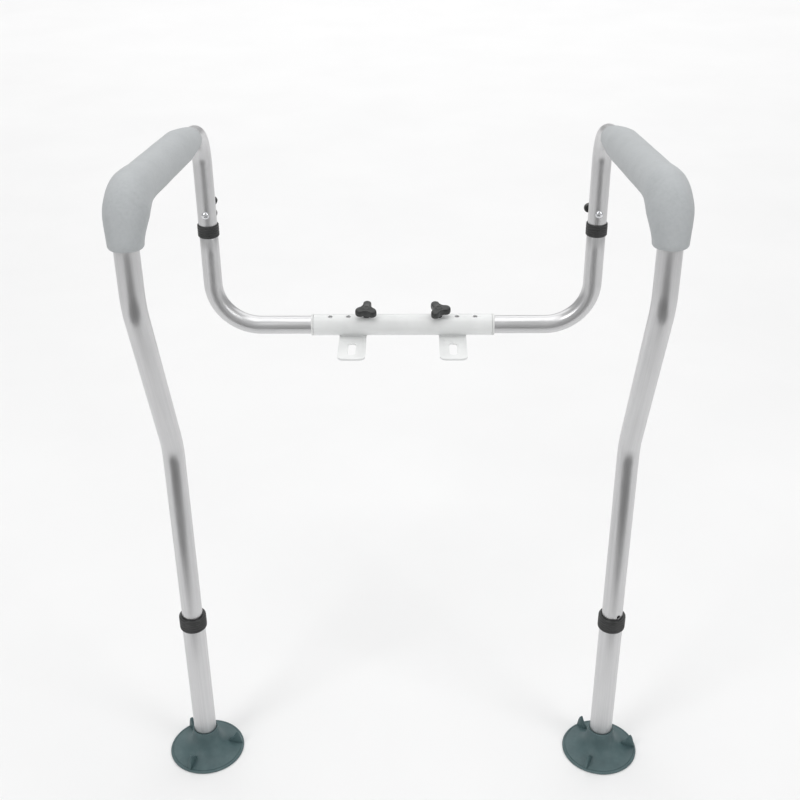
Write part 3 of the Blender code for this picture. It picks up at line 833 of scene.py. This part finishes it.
    # suction foot with a lip line inside its rim and three release fins
    turn = math.radians(8.0 if s == "l" else 0.0)
    cup = [(0, 0.0030), (0.0200, 0.0028), (0.0340, 0.0018), (0.0445, 0.0001), (0.0478, 0.0),
           (0.0484, 0.0004), (0.0485, 0.0010), (0.0481, 0.0017), (0.0470, 0.0022), (0.0459, 0.0024),
           (0.0456, 0.0020), (0.0450, 0.0020), (0.0447, 0.0027)]
    for k in range(1, 17):
        t = k / 17
        r = 0.0447 + (0.0176 - 0.0447) * (1 - (1 - t) ** 1.75)
        cup.append((r, 0.0030 + 0.0240 * t ** 1.55))
    cup += [(0.0176, 0.0272), (0.0168, 0.0320), (0.0165, 0.0345), (0.0165, 0.0362), (0.0162, 0.0370),
            (0.0156, 0.0373), (LEG_R + 0.0006, 0.0373), (LEG_R + 0.0003, 0.0370), (LEG_R + 0.0003, 0.0093), (0, 0.0093)]
    v, f, lane = turned(cup, (x, LEG_Y, 0), (0, 0, 1), 96, turn + 0.011)
    foot = mesh_object("suction_cup_" + s, v, f, "teal_rubber", None, 50.0)
    fins = []
    for k in range(3):
        a = turn + k * 2 * math.pi / 3
        prof = [(0.0285, 0.0040), (0.0466, 0.0020), (0.0458, 0.0080), (0.0447, 0.0130), (0.0432, 0.0178),
                (0.0418, 0.0206), (0.0406, 0.0215), (0.0394, 0.0206), (0.0372, 0.0172), (0.0340, 0.0135),
                (0.0296, 0.0112)]
        ca, sa = math.cos(a), math.sin(a)

        def put(r, z, h, ca=ca, sa=sa):
            return (x + r * ca - h * sa, LEG_Y + r * sa + h * ca, z)

        fins.append(mesh_object("tool_fin_%s%d" % (s, k), *prism(
            prof, 0, 0, put, [(-0.0009, -0.0019), (-0.0003, -0.0017), (0, -0.0012), (0, 0.0012),
                              (-0.0003, 0.0017), (-0.0009, 0.0019)]), None))
    carve(foot, fins, "UNION", 50.0)
    done(foot, leg, "teal_rubber", "suction_foot_" + s)

    # the washer shows only from inside the foot, so the CAD piece itself is kept
    washer = frame["nodes"]["foot_washer_" + s]
    for i in range(max(1, len(washer.data.materials))):
        if i < len(washer.data.materials):
            washer.data.materials[i] = MATS["washer_steel"]
        else:
            washer.data.materials.append(MATS["washer_steel"])

# ------------------------------------------------------------------ the studio
floor_mat = Nodes("studio_floor")
cloud = floor_mat.grain(floor_mat.place((1, 1, 1)), 3.0, 3.0)
floor_mat.set(Base_Color=floor_mat.colours(cloud, [(0.3, (0.86, 0.86, 0.86)), (0.7, (0.88, 0.88, 0.88))]),
              Roughness=0.75, Specular_IOR_Level=0.1)
me = bpy.data.meshes.new("studio_floor")
me.from_pydata([(-40, -40, 0), (40, -40, 0), (40, 40, 0), (-40, 40, 0)], [], [(0, 1, 2, 3)])
me.materials.append(floor_mat.mat)
floor = bpy.data.objects.new("studio_floor", me)
floor.location = (0, 0, -0.0004)
bpy.context.scene.collection.objects.link(floor)


def soft_box(name, at, target, size, power):
    data = bpy.data.lights.new(name, "AREA")
    data.shape = "RECTANGLE"
    data.size, data.size_y = size
    data.energy = power
    ob = bpy.data.objects.new(name, data)
    ob.location = at
    ob.rotation_euler = (Vector(target) - Vector(at)).to_track_quat("-Z", "Y").to_euler()
    bpy.context.scene.collection.objects.link(ob)
    return ob


soft_box("key_left", (-1.7, -1.9, 2.3), (0, 0, 0.45), (1.0, 1.6), 19)
soft_box("fill_right", (1.9, -1.6, 1.9), (0, 0, 0.45), (1.0, 1.6), 13)
soft_box("overhead", (0.0, 0.1, 2.9), (0, 0, 0.3), (2.0, 2.0), 19)

soft_box("back_wash", (0.0, 5.0, 3.6), (0, 5.0, 0), (9.0, 6.0), 170)

# a dark card on the floor in front, seen only in reflections, darkens the
# middle of the upright tubes
card_mat = Nodes("studio_card")
card_mat.set(Base_Color=card_mat.colours(card_mat.grain(card_mat.place((1, 1, 1)), 5.0),
                                         [(0.3, (0.16, 0.16, 0.16)), (0.7, (0.20, 0.20, 0.20))]), Roughness=0.9)
me = bpy.data.meshes.new("studio_card")
me.from_pydata([(-0.75, -2.4, 0), (0.75, -2.4, 0), (0.75, -0.50, 0), (-0.75, -0.50, 0)], [], [(0, 1, 2, 3)])
me.materials.append(card_mat.mat)
card = bpy.data.objects.new("studio_card", me)
card.location = (0, 0, 0.001)
card.visible_camera = card.visible_diffuse = card.visible_shadow = False
bpy.context.scene.collection.objects.link(card)

world = bpy.data.worlds.new("studio_world")
bpy.context.scene.world = world
world.use_nodes = True
wt = world.node_tree
bg = wt.nodes["Background"]
co = wt.nodes.new("ShaderNodeTexCoord")
sep = wt.nodes.new("ShaderNodeSeparateXYZ")
ramp = wt.nodes.new("ShaderNodeValToRGB")
wt.links.new(co.outputs["Generated"], sep.inputs[0])
wt.links.new(sep.outputs["Z"], ramp.inputs["Fac"])
els = ramp.color_ramp.elements
els[0].position, els[0].color = 0.0, (0.72, 0.72, 0.725, 1)
els[1].position, els[1].color = 0.65, (1.0, 1.0, 1.0, 1)
wt.links.new(ramp.outputs["Color"], bg.inputs["Color"])
bg.inputs["Strength"].default_value = 0.60

cam_data = bpy.data.cameras.new("photo_camera")
cam_data.lens = 54.486
cam_data.sensor_width = 36.0
cam = bpy.data.objects.new("photo_camera", cam_data)
cam.matrix_world = (Matrix.Translation((0.0154, -1.3127, 1.2042))
                    @ Matrix.Rotation(math.radians(0.751), 4, "Z")
                    @ Matrix.Rotation(math.radians(90.0 - 29.5), 4, "X")
                    @ Matrix.Rotation(math.radians(-0.466), 4, "Z"))
bpy.context.scene.collection.objects.link(cam)
bpy.context.scene.camera = cam
bpy.context.scene.view_settings.view_transform = "Standard"
